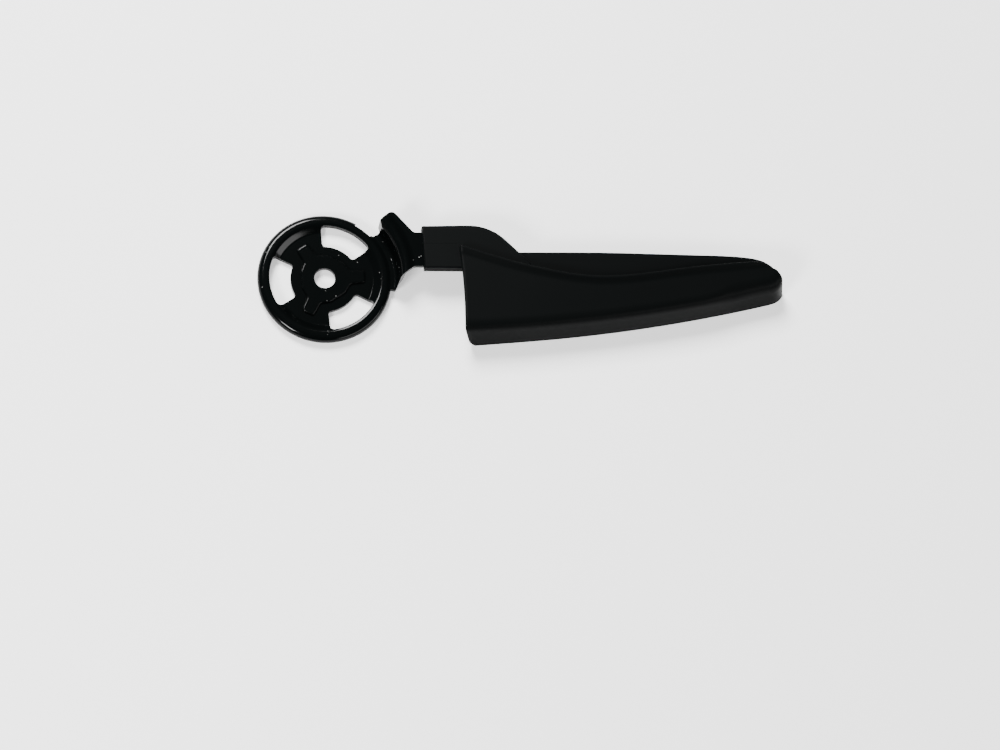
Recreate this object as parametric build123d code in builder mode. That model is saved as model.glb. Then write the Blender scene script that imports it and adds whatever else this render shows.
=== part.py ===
from build123d import *
from math import cos, radians, sin, sqrt, tan
import os

os.makedirs("parts", exist_ok=True)

# A car seat height lever, lying with its outer face up.
# The origin is the centre of the hub bore on the back of the raised seat round it,
# X runs along the lever to the tip of the grip and Z points out of the outer face.

# Sheet of the steel lever and the inside radius of its bends
sheet = 2.5
sheet_bend = 0.6

# Disc: bead round the rim, bore, raised seat and arc slots.
# The heights of the rim, the arm and the foot edges are measured from the back of the disc's floor.
disc_radius = 32.8
rim_foot = 2.0
bead_rise = 3.0
bead_width = 5.4
bead_slope = 3.4
bead_foot_fillet = 1.2
bore_radius = 5.1
seat_rise = 1.2
seat_inset = 0.8
seat_chord = 11.5
seat_chord_half = 4.4
seat_waist_radius = 12.4
lobe_reach = 19.8
lobe_half_root = 3.6
lobe_half_tip = 3.2
seat_fillet = 1.5
seat_round_share = 0.75
slot_count = 3
slot_inner_radius = 16.7
slot_outer_radius = 27.0
slot_half_angle = 29.0
slot_corner = 1.8
slot_direction = 64.0

# Neck: it steps up from the disc's bead to the arm
neck_root = 3.8
neck_low_angle = -10.5
neck_waist_angle = -4.0
neck_high_angle = 44.5
neck_corner = 1.0
bead_crown = 2.8
shelf_ramp = 1.8
shelf_drop = 0.8
shelf_reach = 2.4
shelf_fillet = 1.4
wall_run = 1.4
crest_width = 3.7
crest_rise = 1.6
crest_fillet = 3.6
crest_run = 2.9
neck_overlap = 4.0
ear_reach = 5.7
ear_turn = 7.0
ear_corner = 2.6
neck_fillet = 3.0
relief_width = 1.0
relief_turn = 1.0
relief_start = 40.0
notch_depth = 1.8
notch_turn = 17.0

# Arm, with a window for the snap tongue
arm_rise = 14.0
arm_low_edge = 3.0
arm_width = 17.4
arm_straight = 28.8
arm_tip_width = 3.5
arm_taper = 18.0
arm_corner = 1.2
window_place = 5.8
window_length = 6.0
window_width = 6.0

# Sleeve of the handle, moulded round the arm
fit_clearance = 0.1
sleeve_face = 1.5
sleeve_low_wall = 1.2
sleeve_high_wall = 3.8
mouth_gap = 4.0
mouth_lean = 0.8
sleeve_rise = 0.9
sleeve_straight = 33.6
sleeve_bend_radius = 25.0
sleeve_slope = 45.0
sleeve_corner = 2.0
sleeve_round = 0.8
tongue_lead = 1.0
tongue_length = 14.0
tongue_slit = 1.2
barb_clearance = 0.3
barb_height = 2.0

# Grip: curves seen from above
grip_start = 66.2
end_bow = 0.9
foot_start = -33.7
foot_end = (226.0, -11.1)
foot_end_slope = 0.235
foot_bulge = 3.9
nose_low = (232.2, -6.0)
corner_bulge = 1.1
nose_bulge = 2.4
lip_points = [(65.0, 12.4), (100.0, 2.0), (137.0, -3.1), (185.0, 2.4), (212.0, 4.8), (219.0, 3.8), (222.4, 1.4)]

# Grip: walls, draft and edges
grip_wall = 2.2
panel_gap = 0.4
draft = 10.0
nose_draft = 14.0
crease_radius = 3.4
nose_radius = 6.5
round_steps = 5
lip_rise = 1.4
lip_width = 1.5
end_corner = 6.5
end_corner_height = 18.0
end_corner_bulge = 0.6

# Backing plate, its wall and ribs behind the grip
back_points = [(92.0, 10.4), (141.0, 10.7), (190.0, 9.8), (210.5, 8.8), (218.6, 7.0), (224.2, 3.2)]
end_tuck = 6.0
plate_tuck = 10.0
plate_thickness = 2.2
plate_step = 1.3
plate_gap = 0.3
plate_start = 69.5
skirt_wall = 2.0
skirt_foot = 1.0
rib_thickness = 1.5
rib_foot = 3.0
rib_pitch = 19.0
rib_count = 7

# Snap hooks of the cover, which catch under the backing plate
hook_points = [(98.0, -20.0), (136.0, -17.5), (174.0, -12.0), (117.0, -8.5), (155.0, -8.0), (193.0, -3.0)]
hook_length = 5.0
hook_thickness = 1.8
hook_catch = 0.9
hook_drop = 1.8
hook_clearance = 0.2
hook_pad = 3.0

# Levels and places worked out from the sizes above
floor_under = -seat_rise
floor_top = floor_under + sheet
seat_round = seat_rise * seat_round_share
rim_under = floor_under + rim_foot
disc_top = floor_top + bead_rise
bead_wall_radius = disc_radius - bead_width
bead_foot_radius = bead_wall_radius - bead_slope
bead_end_radius = bead_wall_radius + bead_crown
neck_start_radius = disc_radius - neck_root
notch_radius = disc_radius - notch_depth
shelf_radius = disc_radius + shelf_reach
crest_inner_radius = shelf_radius + wall_run
crest_outer_radius = crest_inner_radius + crest_width
arm_start_radius = crest_outer_radius + crest_run
ear_radius = crest_outer_radius + ear_reach
arm_join = arm_start_radius + neck_overlap
mouth = arm_start_radius + mouth_gap
arm_shoulder = mouth + arm_straight
arm_tip = arm_shoulder + arm_taper
window_start = mouth + window_place
tongue_tip = window_start - tongue_lead
sleeve_bend_corner = mouth + sleeve_straight
shelf_top = disc_top - shelf_drop
arm_top = floor_under + arm_rise
bend = sheet + sheet_bend
crest_top = arm_top + crest_rise
arm_under = arm_top - sheet
arm_high_edge = arm_low_edge + arm_width
pocket_under = arm_under - fit_clearance
pocket_top = arm_top + fit_clearance
sleeve_under = pocket_under - sleeve_face
sleeve_top = pocket_top + sleeve_face
sleeve_low_edge = arm_low_edge - fit_clearance - sleeve_low_wall
sleeve_high_edge = arm_high_edge + fit_clearance + sleeve_high_wall
plate_top = sleeve_top - plate_step
plate_under = plate_top - plate_thickness
panel_under = sleeve_top + panel_gap
panel_top = panel_under + grip_wall
skirt_under = floor_under + skirt_foot
rib_under = floor_under + rib_foot
rib_reach = -2 * foot_start
slot_pitch = 360 / slot_count
notch_start = neck_high_angle - relief_turn


def polar(radius, angle):
    """Point at a distance and an angle in degrees from the bore."""
    return (radius * cos(radians(angle)), radius * sin(radians(angle)))


def beside(radius, side, angle):
    """Point at a distance along a direction from the bore and a distance to its left."""
    along = Vector(*polar(radius, angle))
    across = Vector(*polar(side, angle + 90))
    return along + across


# Disc: floor, bead and rolled rim turned from one section of the sheet
with BuildPart() as disc:
    with BuildSketch(Plane.XZ):
        with BuildLine():
            disc_face = FilletPolyline(
                (0, floor_top),
                (bead_foot_radius, floor_top),
                (bead_wall_radius, disc_top),
                (disc_radius, disc_top),
                (disc_radius, rim_under),
                radius=(bead_foot_fillet, bend, bend),
            )
            offset(disc_face, amount=sheet, side=Side.RIGHT)
        make_face()
    revolve(axis=Axis.Z)

# Raised seat round the bore: three lobes between the slots, with a chord towards each slot
seat_points = []
for turn in range(slot_count):
    slot_angle = slot_direction + turn * slot_pitch
    lobe_angle = slot_angle + slot_pitch / 2
    seat_points.append(beside(seat_chord, -seat_chord_half, slot_angle))
    seat_points.append(beside(seat_chord, seat_chord_half, slot_angle))
    seat_points.append(beside(seat_waist_radius, -lobe_half_root, lobe_angle))
    seat_points.append(beside(lobe_reach, -lobe_half_tip, lobe_angle))
    seat_points.append(beside(lobe_reach, lobe_half_tip, lobe_angle))
    seat_points.append(beside(seat_waist_radius, lobe_half_root, lobe_angle))
with BuildSketch() as seat_plan:
    with BuildLine():
        FilletPolyline(*seat_points, radius=seat_fillet, close=True)
    make_face()
with BuildPart() as seat:
    with BuildSketch(Plane.XY.offset(floor_top)):
        add(seat_plan)
    extrude(amount=seat_rise)
    fillet(seat.faces().sort_by(Axis.Z)[-1].edges(), seat_round)

# Arc slot: one, to be repeated round the bore
with BuildSketch() as slot_plan:
    with BuildLine():
        slot_arc = 2 * slot_half_angle
        outer_arc = CenterArc((0, 0), slot_outer_radius, -slot_half_angle, slot_arc)
        inner_arc = CenterArc((0, 0), slot_inner_radius, -slot_half_angle, slot_arc)
        Line(outer_arc @ 0, inner_arc @ 0)
        Line(outer_arc @ 1, inner_arc @ 1)
    make_face()
    fillet(slot_plan.vertices(), slot_corner)

# Plan of the neck: it leaves the bead, steps up, carries an ear on one side and narrows to the arm
with BuildSketch() as neck_plan:
    with BuildLine():
        FilletPolyline(
            polar(neck_start_radius, neck_low_angle),
            polar(shelf_radius, neck_low_angle),
            polar(crest_inner_radius, neck_waist_angle),
            (arm_start_radius, arm_low_edge),
            (arm_join, arm_low_edge),
            (arm_join, arm_high_edge),
            (arm_start_radius, arm_high_edge),
            polar(ear_radius, neck_high_angle - ear_turn),
            polar(ear_radius, neck_high_angle),
            polar(crest_inner_radius + relief_width, neck_high_angle),
            polar(shelf_radius + relief_width, relief_start),
            polar(neck_start_radius, notch_start),
            radius=(neck_corner, neck_fillet, neck_fillet, 0, 0, neck_fillet, ear_corner, ear_corner, 0, 0),
        )
        CenterArc(
            (0, 0),
            neck_start_radius,
            neck_low_angle,
            notch_start - neck_low_angle,
        )
    make_face()

# Neck: the same bead section goes on over a shelf, up the wall, over a crest and down to the arm
with BuildPart() as neck:
    with BuildSketch(Plane.XZ):
        with BuildLine():
            neck_face = FilletPolyline(
                (bead_foot_radius, floor_top),
                (bead_wall_radius, disc_top),
                (bead_end_radius, disc_top),
                (bead_end_radius + shelf_ramp, shelf_top),
                (shelf_radius, shelf_top),
                (crest_inner_radius, crest_top),
                (crest_outer_radius, crest_top),
                (arm_start_radius, arm_top),
                (arm_shoulder, arm_top),
                radius=(bend, bend, shelf_fillet, shelf_fillet, bend, bend, crest_fillet),
            )
            offset(neck_face, amount=sheet, side=Side.RIGHT, kind=Kind.INTERSECTION)
        make_face()
    revolve(axis=Axis.Z)
    extrude(neck_plan.sketch, amount=crest_top, mode=Mode.INTERSECT)

# Plan of the arm, which narrows inside the sleeve so that the handle can slide on
with BuildSketch() as arm_plan:
    with BuildLine():
        FilletPolyline(
            (arm_join - neck_overlap / 2, arm_low_edge),
            (arm_tip, arm_low_edge),
            (arm_tip, arm_low_edge + arm_tip_width),
            (arm_shoulder, arm_high_edge),
            (arm_join - neck_overlap / 2, arm_high_edge),
            radius=(0, arm_corner, arm_corner, arm_corner, 0),
            close=True,
        )
    make_face()

# Lever plate: disc, neck and arm in one piece of sheet
window_centre = (window_start + window_length / 2, arm_low_edge + arm_width / 2)
with BuildPart() as lever_plate:
    add(disc)
    with BuildSketch(Plane.XY.offset(floor_under)):
        add(neck_plan)
        with BuildLine():
            notch_outer = CenterArc((0, 0), disc_radius + sheet, notch_start, notch_turn)
            notch_inner = CenterArc((0, 0), notch_radius, notch_start, notch_turn)
            Line(notch_outer @ 0, notch_inner @ 0)
            Line(notch_outer @ 1, notch_inner @ 1)
        make_face()
    extrude(amount=sheet + bead_rise, mode=Mode.SUBTRACT)
    add(neck)
    with BuildSketch(Plane.XY.offset(arm_under)):
        add(arm_plan)
        with Locations(window_centre):
            Rectangle(window_length, window_width, mode=Mode.SUBTRACT)
    extrude(amount=sheet)
    add(seat)
    with BuildSketch(Plane.XY.offset(floor_under)):
        offset(seat_plan.sketch, amount=-seat_inset)
    extrude(amount=seat_rise, mode=Mode.SUBTRACT)
    with BuildSketch(Plane.XY.offset(floor_under)):
        Circle(bore_radius)
        with PolarLocations(0, slot_count, start_angle=slot_direction):
            add(slot_plan)
    extrude(amount=disc_top - floor_under, mode=Mode.SUBTRACT)
lever_plate.part.label = "lever_plate"
export_step(lever_plate.part, "parts/lever_plate.step")

# Lowest point of the lip and the slope with which it starts
lip_low = min(lip_points, key=lambda point: point[1])
lip_slope = (lip_points[0][1] - lip_points[1][1]) / (lip_points[1][0] - lip_points[0][0])


def beside_chord(first, last, bulge):
    """Point beside the middle of a chord, to the right of its direction."""
    chord = Vector(*last) - Vector(*first)
    return Vector(*first) + chord / 2 + chord.rotate(Axis.Z, -90).normalized() * bulge


def edge_inset(level, lean, radius, wall):
    """How far a leaning side stands in from its foot, with its round into the panel."""
    centre_level = panel_top - radius
    inner_radius = radius - wall
    if level <= centre_level + inner_radius * sin(radians(lean)):
        return (level - floor_under) * tan(radians(lean)) + wall / cos(radians(lean))
    centre_inset = (centre_level - floor_under) * tan(radians(lean)) + radius / cos(radians(lean))
    return centre_inset - sqrt(max(inner_radius**2 - (level - centre_level) ** 2, 0))


def grip_outline(level, wall=0):
    """Outline of the grip at a height: flank, corner, nose, lip and inner end.

    With a wall it is the outline of the hollow, which runs out past the inner end.
    """
    flank_inset = edge_inset(level, draft, crease_radius, wall)
    nose_inset = edge_inset(level, nose_draft, nose_radius, wall)
    low_left = (grip_start - wall, foot_start + flank_inset)
    low_end = (foot_end[0] - nose_inset, foot_end[1] - nose_inset * foot_end_slope + flank_inset)
    nose = (nose_low[0] - nose_inset, nose_low[1] + flank_inset / 2)
    lip_start = (lip_points[0][0] - wall, lip_points[0][1] - wall + wall * lip_slope)
    lip_end = (lip_points[-1][0] - wall, lip_points[-1][1] - wall)
    lip_between = [(x, y - wall) for x, y in lip_points[1:-1]]
    with BuildSketch() as outline:
        with BuildLine():
            ThreePointArc(low_left, beside_chord(low_left, low_end, foot_bulge), low_end)
            ThreePointArc(low_end, beside_chord(low_end, nose, corner_bulge), nose)
            ThreePointArc(nose, beside_chord(nose, lip_end, nose_bulge), lip_end)
            Spline(lip_start, *lip_between, lip_end)
            ThreePointArc(lip_start, beside_chord(lip_start, low_left, -end_bow), low_left)
        make_face()
    return outline.sketch


def grip_solid(foot_level, wall=0):
    """Grip or its hollow, from a level up to the panel, by outlines that follow its rounds."""
    nose_inner = nose_radius - wall
    levels = [foot_level]
    for step in range(round_steps + 1):
        round_angle = nose_draft + (90 - nose_draft) * step / round_steps
        levels.append(panel_top - nose_radius + nose_inner * sin(radians(round_angle)))
    with BuildPart() as solid:
        for level in levels:
            with BuildSketch(Plane.XY.offset(level)):
                add(grip_outline(level, wall))
        loft(ruled=True)
    return solid.part


# Plan of the sleeve: straight round the arm, then a bend down to the lip of the grip
bend_run = (sleeve_high_edge - sleeve_low_edge) / tan(radians(sleeve_slope))
with BuildSketch() as sleeve_plan:
    with BuildLine():
        FilletPolyline(
            (mouth, sleeve_high_edge - sleeve_rise),
            (sleeve_bend_corner, sleeve_high_edge),
            (sleeve_bend_corner + bend_run, sleeve_low_edge),
            (mouth + mouth_lean, sleeve_low_edge),
            radius=(0, sleeve_bend_radius, sleeve_corner, 0),
            close=True,
        )
    make_face()


def plate_outline(inset=0):
    """Backing plate: it fills the shell of the grip and comes out past its lip to the back edge."""
    back_start = (back_points[0][0] + inset, back_points[0][1] - inset)
    back_end = (back_points[-1][0] - inset, back_points[-1][1] - inset)
    back_between = [(x, y - inset) for x, y in back_points[1:-1]]
    with BuildSketch() as outline:
        add(grip_outline(plate_top, grip_wall + plate_gap + inset))
        with BuildLine():
            Spline(back_start, *back_between, back_end)
            Polyline(
                back_end,
                (back_end[0], back_end[1] - end_tuck),
                (lip_low[0], lip_low[1] - plate_tuck),
                (back_start[0], lip_low[1] - plate_tuck),
                back_start,
            )
        make_face()
        split(bisect_by=Plane.YZ.offset(plate_start + inset))
    return outline.sketch


# Handle base: sleeve, backing plate with a wall round it, cross ribs and the snap tongue
with BuildPart() as handle_base:
    with BuildSketch(Plane.XY.offset(sleeve_under)):
        add(sleeve_plan)
    extrude(amount=sleeve_top - sleeve_under)
    fillet(handle_base.faces().sort_by(Axis.Z)[-1].edges(), sleeve_round)
    with BuildSketch(Plane.XY.offset(plate_under)):
        add(plate_outline())
    extrude(amount=plate_thickness)
    with BuildSketch(Plane.XY.offset(plate_under)):
        add(plate_outline())
        add(plate_outline(skirt_wall), mode=Mode.SUBTRACT)
    extrude(amount=skirt_under - plate_under)
    with BuildSketch(Plane.XY.offset(plate_under)):
        with Locations((plate_start + rib_pitch, 0)):
            with GridLocations(rib_pitch, 0, rib_count, 1, align=(Align.MIN, Align.CENTER)):
                Rectangle(rib_thickness, rib_reach)
        add(plate_outline(), mode=Mode.INTERSECT)
    extrude(amount=rib_under - plate_under)
    with BuildSketch(Plane.XY.offset(pocket_under)):
        offset(arm_plan.sketch, amount=fit_clearance)
    extrude(amount=pocket_top - pocket_under, mode=Mode.SUBTRACT)
    with BuildSketch(Plane.XY.offset(sleeve_under)):
        with Locations((tongue_tip - tongue_slit, window_centre[1])):
            Rectangle(
                tongue_length + tongue_slit,
                window_width + 2 * tongue_slit,
                align=(Align.MIN, Align.CENTER),
            )
        with Locations((tongue_tip, window_centre[1])):
            Rectangle(tongue_length, window_width, align=(Align.MIN, Align.CENTER), mode=Mode.SUBTRACT)
    extrude(amount=sleeve_face, mode=Mode.SUBTRACT)
    with BuildSketch(Plane.XY.offset(pocket_under)):
        with Locations(window_centre):
            Rectangle(window_length - 2 * barb_clearance, window_width - 2 * barb_clearance)
    extrude(amount=barb_height)
    with BuildSketch(Plane.XY.offset(plate_under)):
        with Locations(*hook_points):
            with Locations((0, hook_catch / 2)):
                Rectangle(
                    hook_length + 2 * hook_clearance,
                    hook_thickness + hook_catch + 2 * hook_clearance,
                )
    extrude(amount=plate_thickness, mode=Mode.SUBTRACT)
handle_base.part.label = "handle_base"
export_step(handle_base.part, "parts/handle_base.step")

# Grip cover: drafted shell, open below and at its inner end
with BuildPart() as grip_cover:
    add(grip_solid(floor_under))
    add(grip_solid(floor_under - grip_wall, grip_wall), mode=Mode.SUBTRACT)
    with BuildSketch(Plane.XY.offset(panel_under)):
        with BuildLine():
            lip_inner = [(x, y - lip_width) for x, y in lip_points]
            Spline(*lip_points)
            Line(lip_points[-1], lip_inner[-1])
            Spline(*reversed(lip_inner))
            Line(lip_inner[0], lip_points[0])
        make_face()
    extrude(amount=grip_wall + lip_rise)
    with BuildSketch(Plane.XY.offset(floor_under)):
        add(plate_outline(-fit_clearance))
    extrude(amount=plate_top - floor_under, mode=Mode.SUBTRACT)
    with BuildSketch(Plane.XY.offset(floor_under)):
        offset(sleeve_plan.sketch, amount=fit_clearance)
    extrude(amount=sleeve_top - floor_under, mode=Mode.SUBTRACT)
    with BuildSketch(Plane.XZ):
        with BuildLine():
            corner_high = (grip_start - grip_wall, floor_under + end_corner_height)
            corner_low = (grip_start + end_corner, floor_under)
            ThreePointArc(corner_high, beside_chord(corner_high, corner_low, end_corner_bulge), corner_low)
            Polyline(corner_low, (grip_start - grip_wall, floor_under), corner_high)
        make_face()
    extrude(amount=foot_start, both=True, mode=Mode.SUBTRACT)
    with BuildSketch(Plane.XY.offset(plate_top)):
        with Locations(*hook_points):
            Rectangle(hook_length + hook_pad, hook_thickness + hook_pad)
    extrude(amount=panel_under - plate_top)
    with BuildSketch(Plane.XY.offset(plate_under - hook_drop)):
        with Locations(*hook_points):
            Rectangle(hook_length, hook_thickness)
    extrude(amount=plate_thickness + hook_drop)
    with BuildSketch(Plane.XY.offset(plate_under - hook_drop)):
        with Locations(*hook_points):
            with Locations((0, hook_catch / 2)):
                Rectangle(hook_length, hook_thickness + hook_catch)
    extrude(amount=hook_drop - fit_clearance)
grip_cover.part.label = "grip_cover"
export_step(grip_cover.part, "parts/grip_cover.step")
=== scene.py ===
from math import cos, pi, radians, sin, tan

import bmesh
import bpy
from mathutils import Matrix, Vector


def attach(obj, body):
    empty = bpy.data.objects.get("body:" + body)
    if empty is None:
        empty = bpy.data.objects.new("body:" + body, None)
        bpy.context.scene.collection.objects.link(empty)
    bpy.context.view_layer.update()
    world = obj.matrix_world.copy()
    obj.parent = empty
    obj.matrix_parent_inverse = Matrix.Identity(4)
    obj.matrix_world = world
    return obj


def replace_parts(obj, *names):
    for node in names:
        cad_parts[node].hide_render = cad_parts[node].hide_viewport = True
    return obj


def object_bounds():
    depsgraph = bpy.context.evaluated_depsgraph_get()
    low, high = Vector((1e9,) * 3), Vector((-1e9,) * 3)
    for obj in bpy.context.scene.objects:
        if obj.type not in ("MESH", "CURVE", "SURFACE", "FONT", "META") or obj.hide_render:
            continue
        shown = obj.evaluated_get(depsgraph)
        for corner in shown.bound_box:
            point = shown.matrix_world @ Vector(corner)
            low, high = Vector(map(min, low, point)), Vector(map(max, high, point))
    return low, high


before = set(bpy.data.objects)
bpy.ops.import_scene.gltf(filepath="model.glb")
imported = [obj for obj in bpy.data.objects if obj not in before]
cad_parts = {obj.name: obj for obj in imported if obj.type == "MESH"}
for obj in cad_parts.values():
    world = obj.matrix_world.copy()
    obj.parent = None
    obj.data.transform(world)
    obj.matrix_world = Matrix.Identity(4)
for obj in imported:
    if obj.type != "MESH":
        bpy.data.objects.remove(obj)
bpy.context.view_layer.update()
scene = bpy.context.scene
MM = 0.001

# Numbers of the Mix node's colour sockets
MIX_FIRST = 6
MIX_SECOND = 7
MIX_RESULT = 2


def linear(hex_colour):
    """sRGB hex colour as linear RGBA."""
    values = [int(hex_colour[i:i + 2], 16) / 255 for i in (0, 2, 4)]
    return [v / 12.92 if v <= 0.04045 else ((v + 0.055) / 1.055) ** 2.4 for v in values] + [1.0]


def add(tree, kind, settings=(), links=()):
    """Node with its settings and the sockets that feed it."""
    node = tree.nodes.new(kind)
    for name, value in dict(settings).items():
        if name in node.inputs.keys() or isinstance(name, int):
            node.inputs[name].default_value = value
        else:
            setattr(node, name, value)
    for name, socket in dict(links).items():
        tree.links.new(socket, node.inputs[name])
    return node


def new_material(name):
    """Empty material with its shader and its place on the object."""
    material = bpy.data.materials.new(name)
    material.use_nodes = True
    tree = material.node_tree
    tree.nodes.clear()
    shader = add(tree, "ShaderNodeBsdfPrincipled")
    add(tree, "ShaderNodeOutputMaterial", links={"Surface": shader.outputs["BSDF"]})
    place = add(tree, "ShaderNodeTexCoord").outputs["Object"]
    return material, tree, shader, place


def per_metre(size_mm):
    """Pattern scale that gives one cell in this many millimetres."""
    return 1 / (size_mm * MM)


# Black enamel: sizes of its orange peel and of the dust on it, in millimetres
PEEL_SIZE = 2.4
PEEL_DEPTH = 0.04
PEEL_STRENGTH = 0.06
DUST_SPACING = 2.6
DUST_PATCH_SIZE = 14.0

# Where a speck of dust ends, in shares of its spacing, and how dense a patch has to be to hold any
DUST_CORE = 0.05
DUST_EDGE = 0.10
PATCH_START = 0.56
PATCH_FULL = 0.66


def black_enamel():
    """Black enamel, sprayed and baked on pressed steel: glossy, with faint orange peel and a little dust."""
    material, tree, shader, place = new_material("black_enamel")
    peel = add(tree, "ShaderNodeTexNoise", {"Scale": per_metre(PEEL_SIZE), "Detail": 1.0}, {"Vector": place})
    bump = add(tree, "ShaderNodeBump", {"Strength": PEEL_STRENGTH, "Distance": PEEL_DEPTH * MM},
               {"Height": peel.outputs["Fac"]})
    dust = add(tree, "ShaderNodeTexVoronoi", {"Scale": per_metre(DUST_SPACING)}, {"Vector": place})
    grain = add(tree, "ShaderNodeMapRange",
                {"From Min": DUST_CORE, "From Max": DUST_EDGE, "To Min": 1.0, "To Max": 0.0},
                {"Value": dust.outputs["Distance"]})
    patch = add(tree, "ShaderNodeTexNoise", {"Scale": per_metre(DUST_PATCH_SIZE), "Detail": 1.0},
                {"Vector": place})
    settle = add(tree, "ShaderNodeMapRange", {"From Min": PATCH_START, "From Max": PATCH_FULL},
                 {"Value": patch.outputs["Fac"]})
    share = add(tree, "ShaderNodeMath", {"operation": "MULTIPLY"},
                {0: grain.outputs["Result"], 1: settle.outputs["Result"]})
    colour = add(tree, "ShaderNodeMix",
                 {"data_type": "RGBA", MIX_FIRST: linear("030404"), MIX_SECOND: linear("8a8c88")},
                 {"Factor": share.outputs["Value"]})
    tree.links.new(colour.outputs[MIX_RESULT], shader.inputs["Base Color"])
    tree.links.new(bump.outputs["Normal"], shader.inputs["Normal"])
    shader.inputs["Roughness"].default_value = 0.12
    shader.inputs["IOR"].default_value = 1.5
    shader.inputs["Specular IOR Level"].default_value = 0.09
    return material


# Moulded plastic: how strongly its grain shows, and how its dull and shiny patches lie.
# Real spark-eroded grain is finer than a pixel, so it is drawn as coarse as it needs to show.
GRAIN_STRENGTH = 0.5
SHEEN_PATCH_SIZE = 30.0
SHEEN_SPREAD = 0.03


def moulded_plastic(name, colour_hex, roughness, grain_mm, depth_mm):
    """Black polypropylene, moulded in a fine spark-eroded grain that breaks up its shine."""
    material, tree, shader, place = new_material(name)
    grain = add(tree, "ShaderNodeTexNoise", {"Scale": per_metre(grain_mm), "Detail": 3.0}, {"Vector": place})
    bump = add(tree, "ShaderNodeBump", {"Strength": GRAIN_STRENGTH, "Distance": depth_mm * MM},
               {"Height": grain.outputs["Fac"]})
    sheen = add(tree, "ShaderNodeTexNoise", {"Scale": per_metre(SHEEN_PATCH_SIZE), "Detail": 2.0},
                {"Vector": place})
    rough = add(tree, "ShaderNodeMapRange",
                {"To Min": roughness - SHEEN_SPREAD, "To Max": roughness + SHEEN_SPREAD},
                {"Value": sheen.outputs["Fac"]})
    tree.links.new(rough.outputs["Result"], shader.inputs["Roughness"])
    tree.links.new(bump.outputs["Normal"], shader.inputs["Normal"])
    shader.inputs["Base Color"].default_value = linear(colour_hex)
    shader.inputs["IOR"].default_value = 1.46
    shader.inputs["Specular IOR Level"].default_value = 0.02
    return material


enamel = black_enamel()
base_plastic = moulded_plastic("grained_base_plastic", "050606", roughness=0.44, grain_mm=0.5, depth_mm=0.03)
cover_plastic = moulded_plastic("satin_cover_plastic", "050606", roughness=0.39, grain_mm=0.4, depth_mm=0.02)

# Rounded edges of the plate and the base: their widths in millimetres and the limits in degrees
# below which faces count as one flat and above which an edge counts as sharp
PLATE_EDGE = 0.8
BASE_EDGE = 0.35
EDGE_STEPS = 3
WELD_GAP = 0.002
FLAT_LIMIT = 0.6
SHARP_LIMIT = 32
FLAT_WEIGHT = 90


def eased_piece(node_name, piece_name, material, width):
    """Piece with a node's own shape, whose sharp edges are rounded as a press or a mould leaves them."""
    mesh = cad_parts[node_name].data.copy()
    shape = bmesh.new()
    shape.from_mesh(mesh)
    bmesh.ops.remove_doubles(shape, verts=shape.verts, dist=WELD_GAP * MM)
    bmesh.ops.dissolve_limit(shape, angle_limit=radians(FLAT_LIMIT), verts=shape.verts, edges=shape.edges)
    shape.to_mesh(mesh)
    shape.free()
    mesh.materials.clear()
    mesh.materials.append(material)
    mesh.shade_smooth()
    piece = bpy.data.objects.new(piece_name, mesh)
    scene.collection.objects.link(piece)
    rounding = piece.modifiers.new("rounding", "BEVEL")
    rounding.width = width * MM
    rounding.segments = EDGE_STEPS
    rounding.limit_method = "ANGLE"
    rounding.angle_limit = radians(SHARP_LIMIT)
    rounding.miter_outer = "MITER_ARC"
    flats = piece.modifiers.new("flats", "WEIGHTED_NORMAL")
    flats.weight = FLAT_WEIGHT
    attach(piece, "root")
    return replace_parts(piece, node_name)


eased_piece("lever_plate", "pressed_lever", enamel, PLATE_EDGE)
eased_piece("handle_base", "moulded_base", base_plastic, BASE_EDGE)

# Grip cover: levels of its shell, in millimetres.
# The foot of the lip drops from the sleeve to the backing plate where the sleeve ends.
FOOT_LEVEL = -1.2
PANEL_UNDER = 14.8
PANEL_TOP = 17.0
LIP_TOP = 18.4
LIP_FOOT_ON_SLEEVE = 14.5
LIP_FOOT_ON_PLATE = 13.08
SLEEVE_TOP = 14.4
SLEEVE_END = 103.0
SLEEVE_END_RUN = 2.0

# Grip cover: the line of its foot and of its lip, seen from above
FLANK_START = (66.2, -33.38)
FLANK_END = (226.0, -11.1)
FLANK_BULGE = 3.9
NOSE = (232.6, -5.4)
CORNER_BULGE = 1.1
NOSE_BULGE = 2.2
LIP_POINTS = [
    (65.0, 12.4),
    (100.0, 2.0),
    (137.0, -3.1),
    (185.0, 2.4),
    (212.0, 4.9),
    (219.0, 3.7),
    (223.0, 0.4),
]

# Grip cover: its section, with drafts in degrees. The lip's crest and root are measured in from its back.
# A section narrower than FULL_WIDTH is the same one, squeezed.
WALL = 2.2
DRAFT = 10.0
NOSE_DRAFT = 14.0
TIP_DRAFT = 18.0
CREASE_RADIUS = 3.4
NOSE_RADIUS = 8.0
ROUND_SOFTNESS = 1.5
INNER_CREASE_RADIUS = 1.5
ROLL_WIDTH = 3.4
ROLL_RADIUS = 7.0
INNER_ROLL_INSET = 0.6
INNER_ROLL_RADIUS = 1.0
LIP_WIDTH = 1.5
LIP_CREST = 1.15
LIP_ROOT = 1.95
LIP_FRONT_RADIUS = 0.7
LIP_BACK_RADIUS = 0.9
LIP_ROOT_RADIUS = 0.1
FOOT_EDGE = 0.01
FULL_WIDTH = 13.0
LEAST_WIDTH = 0.8

# Grip cover: where its section changes over to the nose's, and where the lip fades out.
# From FAN_START on the sections fan out round the tip, and shares from 0 to 1 count along that fan.
NOSE_CHANGE_START = 186.0
NOSE_CHANGE_RUN = 36.0
FAN_START = 196.0
FAN_POWER = 0.9
FAN_NOSE_FROM = 0.5
TIP_CHANGE_START = 0.56
TIP_CHANGE_RUN = 0.2
LIP_FADE = 212.0

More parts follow.
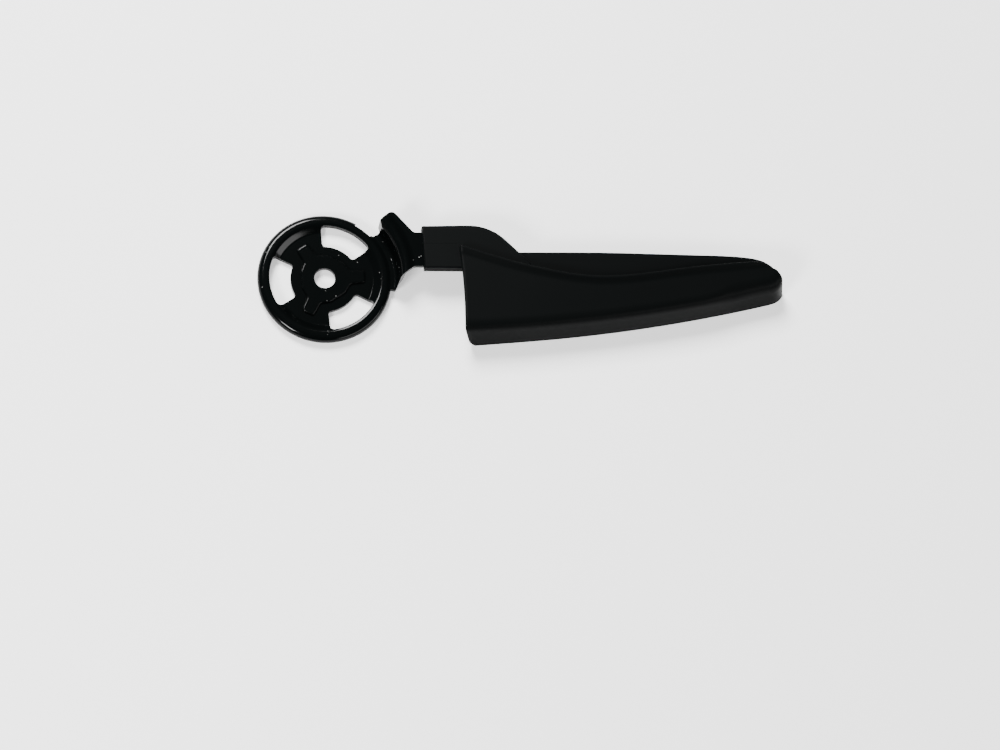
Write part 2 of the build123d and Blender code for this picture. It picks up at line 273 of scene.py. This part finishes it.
# Grip cover: its inner end, bowed, slanted and rounded towards the foot
END_ROUND = 0.7
END_ROUND_ANGLES = (0.0, 0.4, 0.8, 1.2)
END_BOW = 0.9
END_SLANT = 4.2
END_SLANT_TOP = 15.5
END_SLANT_RISE = 15.0
END_SLANT_POWER = 1.1
END_CORNER = 2.6
END_CORNER_TOP = 2.4
END_CORNER_RISE = 3.6
END_REACH = 36.0

# Snap hooks of the cover, under pads below its panel
HOOK_POINTS = [(98.0, -20.0), (136.0, -17.5), (174.0, -12.0), (117.0, -8.5), (155.0, -8.0), (193.0, -3.0)]
HOOK_LENGTH = 5.0
HOOK_THICKNESS = 1.8
HOOK_CATCH = 0.9
HOOK_FOOT = 9.1
CATCH_TOP = 10.8
PAD_MARGIN = 1.5
PAD_UNDER = 13.1
PAD_TUCK = 0.5
HOOK_TUCK = 0.2

# How finely the cover is drawn
FLANK_STEPS = 120
CORNER_STEPS = 8
NOSE_STEPS = 14
STATIONS = 300
FOOT_PASSES = 12
LIP_STEPS = 40
ROUND_STEPS = 6

# The most that a round takes of the edge on either side of it
ROUND_SHARE = 0.49

# Long stretches of the section, which get more points: up the flank, over the panel and down the lip
ONE_CORNER = ROUND_STEPS + 1
SPANS = {2 * ONE_CORNER - 1: 10, 3 * ONE_CORNER - 1: 22, 4 * ONE_CORNER - 1: 3, 6 * ONE_CORNER - 1: 3}


def arc(first, last, bulge, count):
    """Points of an arc that stands out to the right of its chord."""
    first, last = Vector(first), Vector(last)
    chord = last - first
    side = Vector((chord.y, -chord.x)).normalized()
    points = []
    for k in range(count + 1):
        share = k / count
        points.append(first + chord * share + side * bulge * 4 * share * (1 - share))
    return points


def spline(points, count):
    """Smooth curve through points, with this many steps between neighbours."""
    line = [Vector(q) for q in points]
    line = [2 * line[0] - line[1]] + line + [2 * line[-1] - line[-2]]
    curve = []
    for a, b, c, d in zip(line, line[1:], line[2:], line[3:]):
        slope = c - a
        bend = 2 * a - 5 * b + 4 * c - d
        twist = 3 * b - a - 3 * c + d
        for k in range(count):
            f = k / count
            curve.append((2 * b + slope * f + bend * f**2 + twist * f**3) / 2)
    return curve + [line[-2]]


def even(line, count):
    """The same line with evenly spaced points."""
    reach = [0.0]
    for a, b in zip(line, line[1:]):
        reach.append(reach[-1] + (b - a).length)
    points, at = [], 0
    for k in range(count + 1):
        goal = reach[-1] * k / count
        while at < len(line) - 2 and reach[at + 1] < goal:
            at += 1
        share = (goal - reach[at]) / (reach[at + 1] - reach[at])
        points.append(line[at].lerp(line[at + 1], share))
    return points


def relaxed(line, passes):
    """The same line with its corners eased."""
    for _ in range(passes):
        middle = [(a + 2 * b + c) / 4 for a, b, c in zip(line, line[1:], line[2:])]
        line = [line[0]] + middle + [line[-1]]
    return line


def at_x(line, x):
    """Point of a line where it crosses an x."""
    for a, b in zip(line, line[1:]):
        if a.x <= x <= b.x:
            return a.lerp(b, (x - a.x) / (b.x - a.x))
    return line[-1] if x > line[-1].x else line[0]


def eased(value):
    """0 to 1 with a gentle start and end."""
    value = max(0.0, min(1.0, value))
    return value * value * (3 - 2 * value)


def filleted(corners, steps):
    """Open outline whose corners (across, height, radius) are rounded, with equal steps for each corner."""
    outline = []
    for k, (x, z, radius) in enumerate(corners):
        corner = Vector((x, z))
        before = Vector(corners[k - 1][:2]) - corner if k else None
        after = Vector(corners[k + 1][:2]) - corner if k < len(corners) - 1 else None
        if before is None or after is None or radius <= 0:
            outline += [corner] * (steps + 1)
            continue
        turn = pi - before.angle(after)
        reach = min(radius * tan(turn / 2), ROUND_SHARE * before.length, ROUND_SHARE * after.length)
        start = corner + before.normalized() * reach
        end = corner + after.normalized() * reach
        for j in range(steps + 1):
            f = j / steps
            outline.append(start * (1 - f) ** 2 + corner * 2 * f * (1 - f) + end * f**2)
    return outline


def with_spans(outline, spans):
    """Outline with a stretch between two of its points cut into equal parts."""
    points = []
    for k, point in enumerate(outline):
        points.append(point)
        for j in range(1, spans.get(k, 1)):
            points.append(point.lerp(outline[k + 1], j / spans[k]))
    return points


def cover_profile(width, nose_share, tip_share, nose_end, lip_foot, inset):
    """Outer and inner outline of the shell across the grip, from the flank's foot to the lip."""
    lean = tan(radians(DRAFT + (NOSE_DRAFT - DRAFT) * nose_share + (TIP_DRAFT - NOSE_DRAFT) * tip_share))
    crease_radius = (CREASE_RADIUS + (NOSE_RADIUS - CREASE_RADIUS) * nose_share) * ROUND_SOFTNESS
    scale = min(1.0, width / FULL_WIDTH)
    back = width / scale
    roll = back - ROLL_WIDTH
    flank = (PANEL_TOP - FOOT_LEVEL) * lean
    inner_flank = (PANEL_UNDER - FOOT_LEVEL) * lean + WALL
    foot = FOOT_LEVEL + inset
    under = PANEL_UNDER + inset
    top = PANEL_TOP - inset
    lip_top = LIP_TOP - (LIP_TOP - PANEL_TOP) * nose_end - inset
    outer = [
        (inset, foot, 0),
        (inset + FOOT_EDGE, foot + FOOT_EDGE, FOOT_EDGE),
        (flank + inset, top, crease_radius),
        (roll, top, ROLL_RADIUS),
        (back - LIP_CREST, lip_top, LIP_FRONT_RADIUS),
        (back - inset, lip_top, LIP_BACK_RADIUS),
        (back - inset, lip_foot + inset, 0),
    ]
    inner = [
        (WALL - inset, foot, 0),
        (WALL - inset + FOOT_EDGE, foot + FOOT_EDGE, FOOT_EDGE),
        (inner_flank - inset, under, INNER_CREASE_RADIUS),
        (roll - INNER_ROLL_INSET, under, INNER_ROLL_RADIUS),
        (back - LIP_ROOT, under, LIP_ROOT_RADIUS),
        (back - LIP_WIDTH + inset, under, LIP_ROOT_RADIUS),
        (back - LIP_WIDTH + inset, lip_foot + inset, 0),
    ]
    loops = []
    for side in (outer, inner):
        outline = with_spans(filleted(side, ROUND_STEPS), SPANS)
        loops.append([(q.x * scale, q.y) for q in outline])
    return loops


def end_shift(x, across, height):
    """How far the inner end is drawn in: a slight bow, and a slant with a round towards the foot."""
    bow = END_BOW * 4 * across * (1 - across)
    slant = END_SLANT * max(0.0, min(1.0, (END_SLANT_TOP - height) / END_SLANT_RISE)) ** END_SLANT_POWER
    corner = END_CORNER * max(0.0, min(1.0, (END_CORNER_TOP - height) / END_CORNER_RISE)) ** 2
    return (bow + slant + corner) * max(0.0, 1 - (x - FLANK_START[0]) / END_REACH) ** 2


def mesh_object(name, vertices, faces, material):
    """Smooth-shaded piece from points in millimetres, riding on the lever."""
    mesh = bpy.data.meshes.new(name)
    mesh.from_pydata([Vector(v) * MM for v in vertices], [], faces)
    mesh.materials.append(material)
    mesh.shade_smooth()
    mesh.validate()
    piece = bpy.data.objects.new(name, mesh)
    scene.collection.objects.link(piece)
    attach(piece, "root")
    return piece


def add_block(vertices, faces, low, high):
    """Block between two corners, added to a list of points and faces."""
    base = len(vertices)
    vertices += [(x, y, z) for z in (low[2], high[2]) for y in (low[1], high[1]) for x in (low[0], high[0])]
    for face in ((0, 2, 3, 1), (4, 5, 7, 6), (0, 1, 5, 4), (2, 6, 7, 3), (0, 4, 6, 2), (1, 3, 7, 5)):
        faces.append([base + k for k in face])


def add_hooks(vertices, faces):
    """Snap hooks, each a leg with a catch at its foot, under a pad that joins it to the panel."""
    half_length = HOOK_LENGTH / 2
    half_thickness = HOOK_THICKNESS / 2
    for x, y in HOOK_POINTS:
        left, right = x - half_length, x + half_length
        front, back = y - half_thickness, y + half_thickness
        add_block(vertices, faces, (left - PAD_MARGIN, front - PAD_MARGIN, PAD_UNDER),
                  (right + PAD_MARGIN, back + PAD_MARGIN, PANEL_UNDER + PAD_TUCK))
        add_block(vertices, faces, (left, front, HOOK_FOOT), (right, back, PAD_UNDER + HOOK_TUCK))
        add_block(vertices, faces, (left, front, HOOK_FOOT), (right, back + HOOK_CATCH, CATCH_TOP))


# Parting line on the sleeve
RIDGE_START = 47.2
RIDGE_END = 64.0
RIDGE_PLACE = 14.35
RIDGE_HALF_WIDTH = 0.30
RIDGE_HEIGHT = 0.05
RIDGE_TUCK = 0.05


def parting_line():
    """Faint ridge that the two halves of the mould leave along the top of the sleeve."""
    low, high = SLEEVE_TOP - RIDGE_TUCK, SLEEVE_TOP + RIDGE_HEIGHT
    outline = [
        (-RIDGE_HALF_WIDTH, low),
        (-RIDGE_HALF_WIDTH / 2, high),
        (RIDGE_HALF_WIDTH / 2, high),
        (RIDGE_HALF_WIDTH, low),
    ]
    vertices = [(x, RIDGE_PLACE + y, z) for x in (RIDGE_START, RIDGE_END) for y, z in outline]
    faces = [(0, 1, 2, 3), (7, 6, 5, 4)] + [(k, k + 4, (k + 1) % 4 + 4, (k + 1) % 4) for k in range(4)]
    ridge = mesh_object("sleeve_parting_line", vertices, faces, base_plastic)
    ridge.data.shade_flat()


def grip_stations():
    """Places of the sections along the grip: foot, lip, and how much each is the nose's and the tip's."""
    foot_line = arc(FLANK_START, FLANK_END, FLANK_BULGE, FLANK_STEPS)
    foot_line += arc(FLANK_END, NOSE, CORNER_BULGE, CORNER_STEPS)[1:]
    foot_line += arc(NOSE, LIP_POINTS[-1], NOSE_BULGE, NOSE_STEPS)[1:]
    foot_line = relaxed(even(foot_line, STATIONS), FOOT_PASSES)
    lip_line = spline(LIP_POINTS, LIP_STEPS)
    lip_start, lip_end = LIP_POINTS[0][0], LIP_POINTS[-1][0]
    fan_first = next(k for k, q in enumerate(foot_line) if q.x > FAN_START)
    stations = []
    for k, foot in enumerate(foot_line):
        nose_share, tip_share = eased((foot.x - NOSE_CHANGE_START) / NOSE_CHANGE_RUN), 0.0
        if k <= fan_first:
            share = (foot.x - FLANK_START[0]) / (FAN_START - FLANK_START[0])
            along = lip_start + share * (FAN_START - lip_start)
        else:
            share = (k - fan_first) / (len(foot_line) - 1 - fan_first)
            nose_share = max(nose_share, 1.0 if share > FAN_NOSE_FROM else 0.0)
            tip_share = eased((share - TIP_CHANGE_START) / TIP_CHANGE_RUN)
            along = FAN_START + (lip_end - FAN_START) * share**FAN_POWER
        stations.append((foot, at_x(lip_line, min(along, lip_end)), nose_share, tip_share))
    return stations


def grip_cover():
    """Drafted shell of the grip, with a soft crease along its flank and a raised lip along its back."""
    stations = grip_stations()
    rows = [(stations[0], END_ROUND * (1 - cos(a)), END_ROUND * (1 - sin(a))) for a in END_ROUND_ANGLES]
    rows += [(station, 0.0, 0.0) for station in stations[2:-1]]
    vertices, faces, rings = [], [], []
    for (foot, lip, nose_share, tip_share), shift, inset in rows:
        width = max((lip - foot).length, LEAST_WIDTH)
        across = (lip - foot).normalized()
        past_sleeve = eased((lip.x - SLEEVE_END) / SLEEVE_END_RUN)
        lip_foot = LIP_FOOT_ON_SLEEVE + (LIP_FOOT_ON_PLATE - LIP_FOOT_ON_SLEEVE) * past_sleeve
        nose_end = eased((lip.x - LIP_FADE) / (LIP_POINTS[-1][0] - LIP_FADE))
        ring = []
        for side in cover_profile(width, nose_share, tip_share, nose_end, lip_foot, inset):
            ring.append(range(len(vertices), len(vertices) + len(side)))
            for u, z in side:
                point = foot + across * u
                x = point.x + shift
                vertices.append((x + end_shift(x, u / width, z), point.y, z))
        rings.append(ring)
    for (outer, inner), (next_outer, next_inner) in zip(rings, rings[1:]):
        for k in range(len(outer) - 1):
            faces.append((outer[k], next_outer[k], next_outer[k + 1], outer[k + 1]))
            faces.append((inner[k + 1], next_inner[k + 1], next_inner[k], inner[k]))
        faces.append((inner[0], next_inner[0], next_outer[0], outer[0]))
        faces.append((outer[-1], next_outer[-1], next_inner[-1], inner[-1]))
    for (outer, inner), turned in ((rings[0], 1), (rings[-1], -1)):
        for k in range(len(outer) - 1):
            faces.append((outer[k], outer[k + 1], inner[k + 1], inner[k])[::turned])
    add_hooks(vertices, faces)
    cover = mesh_object("grip_cover_shell", vertices, faces, cover_plastic)
    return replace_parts(cover, "grip_cover")


parting_line()
grip_cover()

# Camera, at the photograph's angle and distance
CAMERA_PLACE = Vector((-68.3, -328.1, 925.4)) * MM
CAMERA_RIGHT = Vector((0.9877, -0.0452, 0.1498))
CAMERA_UP = Vector((0.0, 0.9573, 0.2890))
CAMERA_BACK = Vector((-0.1564, -0.2855, 0.9455))
LENS = 72.0
SENSOR_WIDTH = 36.0

camera_data = bpy.data.cameras.new("camera")
camera_data.lens = LENS
camera_data.sensor_width = SENSOR_WIDTH
camera = bpy.data.objects.new("camera", camera_data)
turn = Matrix((CAMERA_RIGHT, CAMERA_UP, CAMERA_BACK)).transposed().to_4x4()
camera.matrix_world = Matrix.Translation(CAMERA_PLACE) @ turn
scene.collection.objects.link(camera)
scene.camera = camera

# Point of the lever that the lamps are aimed at
LAMP_TARGET = Vector((80.0, 0.0, 0.0)) * MM


def softbox(name, place, width, height, power):
    """Rectangular lamp at a place in metres from its target, aimed at it."""
    lamp_data = bpy.data.lights.new(name, "AREA")
    lamp_data.shape = "RECTANGLE"
    lamp_data.size = width
    lamp_data.size_y = height
    lamp_data.energy = power
    lamp = bpy.data.objects.new(name, lamp_data)
    aim = Vector(place).to_track_quat("Z", "Y").to_matrix().to_4x4()
    lamp.matrix_world = Matrix.Translation(LAMP_TARGET + Vector(place)) @ aim
    scene.collection.objects.link(lamp)


# The light from behind gives the panel its sheen, and the two from the front bring out edges and walls
softbox("back_light", place=(-0.36, 0.88, 1.08), width=0.55, height=0.55, power=84.0)
softbox("front_light", place=(-0.72, -0.62, 0.72), width=0.3, height=0.3, power=26.0)
softbox("low_window_light", place=(0.88, -0.78, 0.44), width=1.5, height=0.26, power=16.0)

world = bpy.data.worlds.new("studio")
world.use_nodes = True
scene.world = world
sky = world.node_tree.nodes["Background"]
sky.inputs["Color"].default_value = linear("f4f6f8")
sky.inputs["Strength"].default_value = 0.04

# Pale paper floor just under the lever. To the camera and in mirrors and glass it also glows, which
# makes it paler there than the lamps do. The gap is in millimetres and the half width in metres.
FLOOR_GAP = 0.1
FLOOR_HALF = 3.0
FLOOR_GLOW = 0.64

floor_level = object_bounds()[0][2] - FLOOR_GAP * MM
floor_corners = [
    (-FLOOR_HALF, -FLOOR_HALF, floor_level),
    (FLOOR_HALF, -FLOOR_HALF, floor_level),
    (FLOOR_HALF, FLOOR_HALF, floor_level),
    (-FLOOR_HALF, FLOOR_HALF, floor_level),
]
floor_mesh = bpy.data.meshes.new("floor")
floor_mesh.from_pydata(floor_corners, [], [(0, 1, 2, 3)])
floor = bpy.data.objects.new("floor", floor_mesh)
scene.collection.objects.link(floor)
paper, paper_tree, paper_shader, _ = new_material("white_paper")
paper_shader.inputs["Base Color"].default_value = linear("d0d0d0")
paper_shader.inputs["Roughness"].default_value = 0.9
paper_shader.inputs["Emission Color"].default_value = linear("ffffff")
seen = add(paper_tree, "ShaderNodeLightPath")
shown = add(paper_tree, "ShaderNodeMath", {"operation": "MAXIMUM"},
            {0: seen.outputs["Is Camera Ray"], 1: seen.outputs["Is Glossy Ray"]})
shown = add(paper_tree, "ShaderNodeMath", {"operation": "MAXIMUM"},
            {0: shown.outputs["Value"], 1: seen.outputs["Is Transmission Ray"]})
glow = add(paper_tree, "ShaderNodeMath", {"operation": "MULTIPLY", 1: FLOOR_GLOW},
           {0: shown.outputs["Value"]})
paper_tree.links.new(glow.outputs["Value"], paper_shader.inputs["Emission Strength"])
floor_mesh.materials.append(paper)
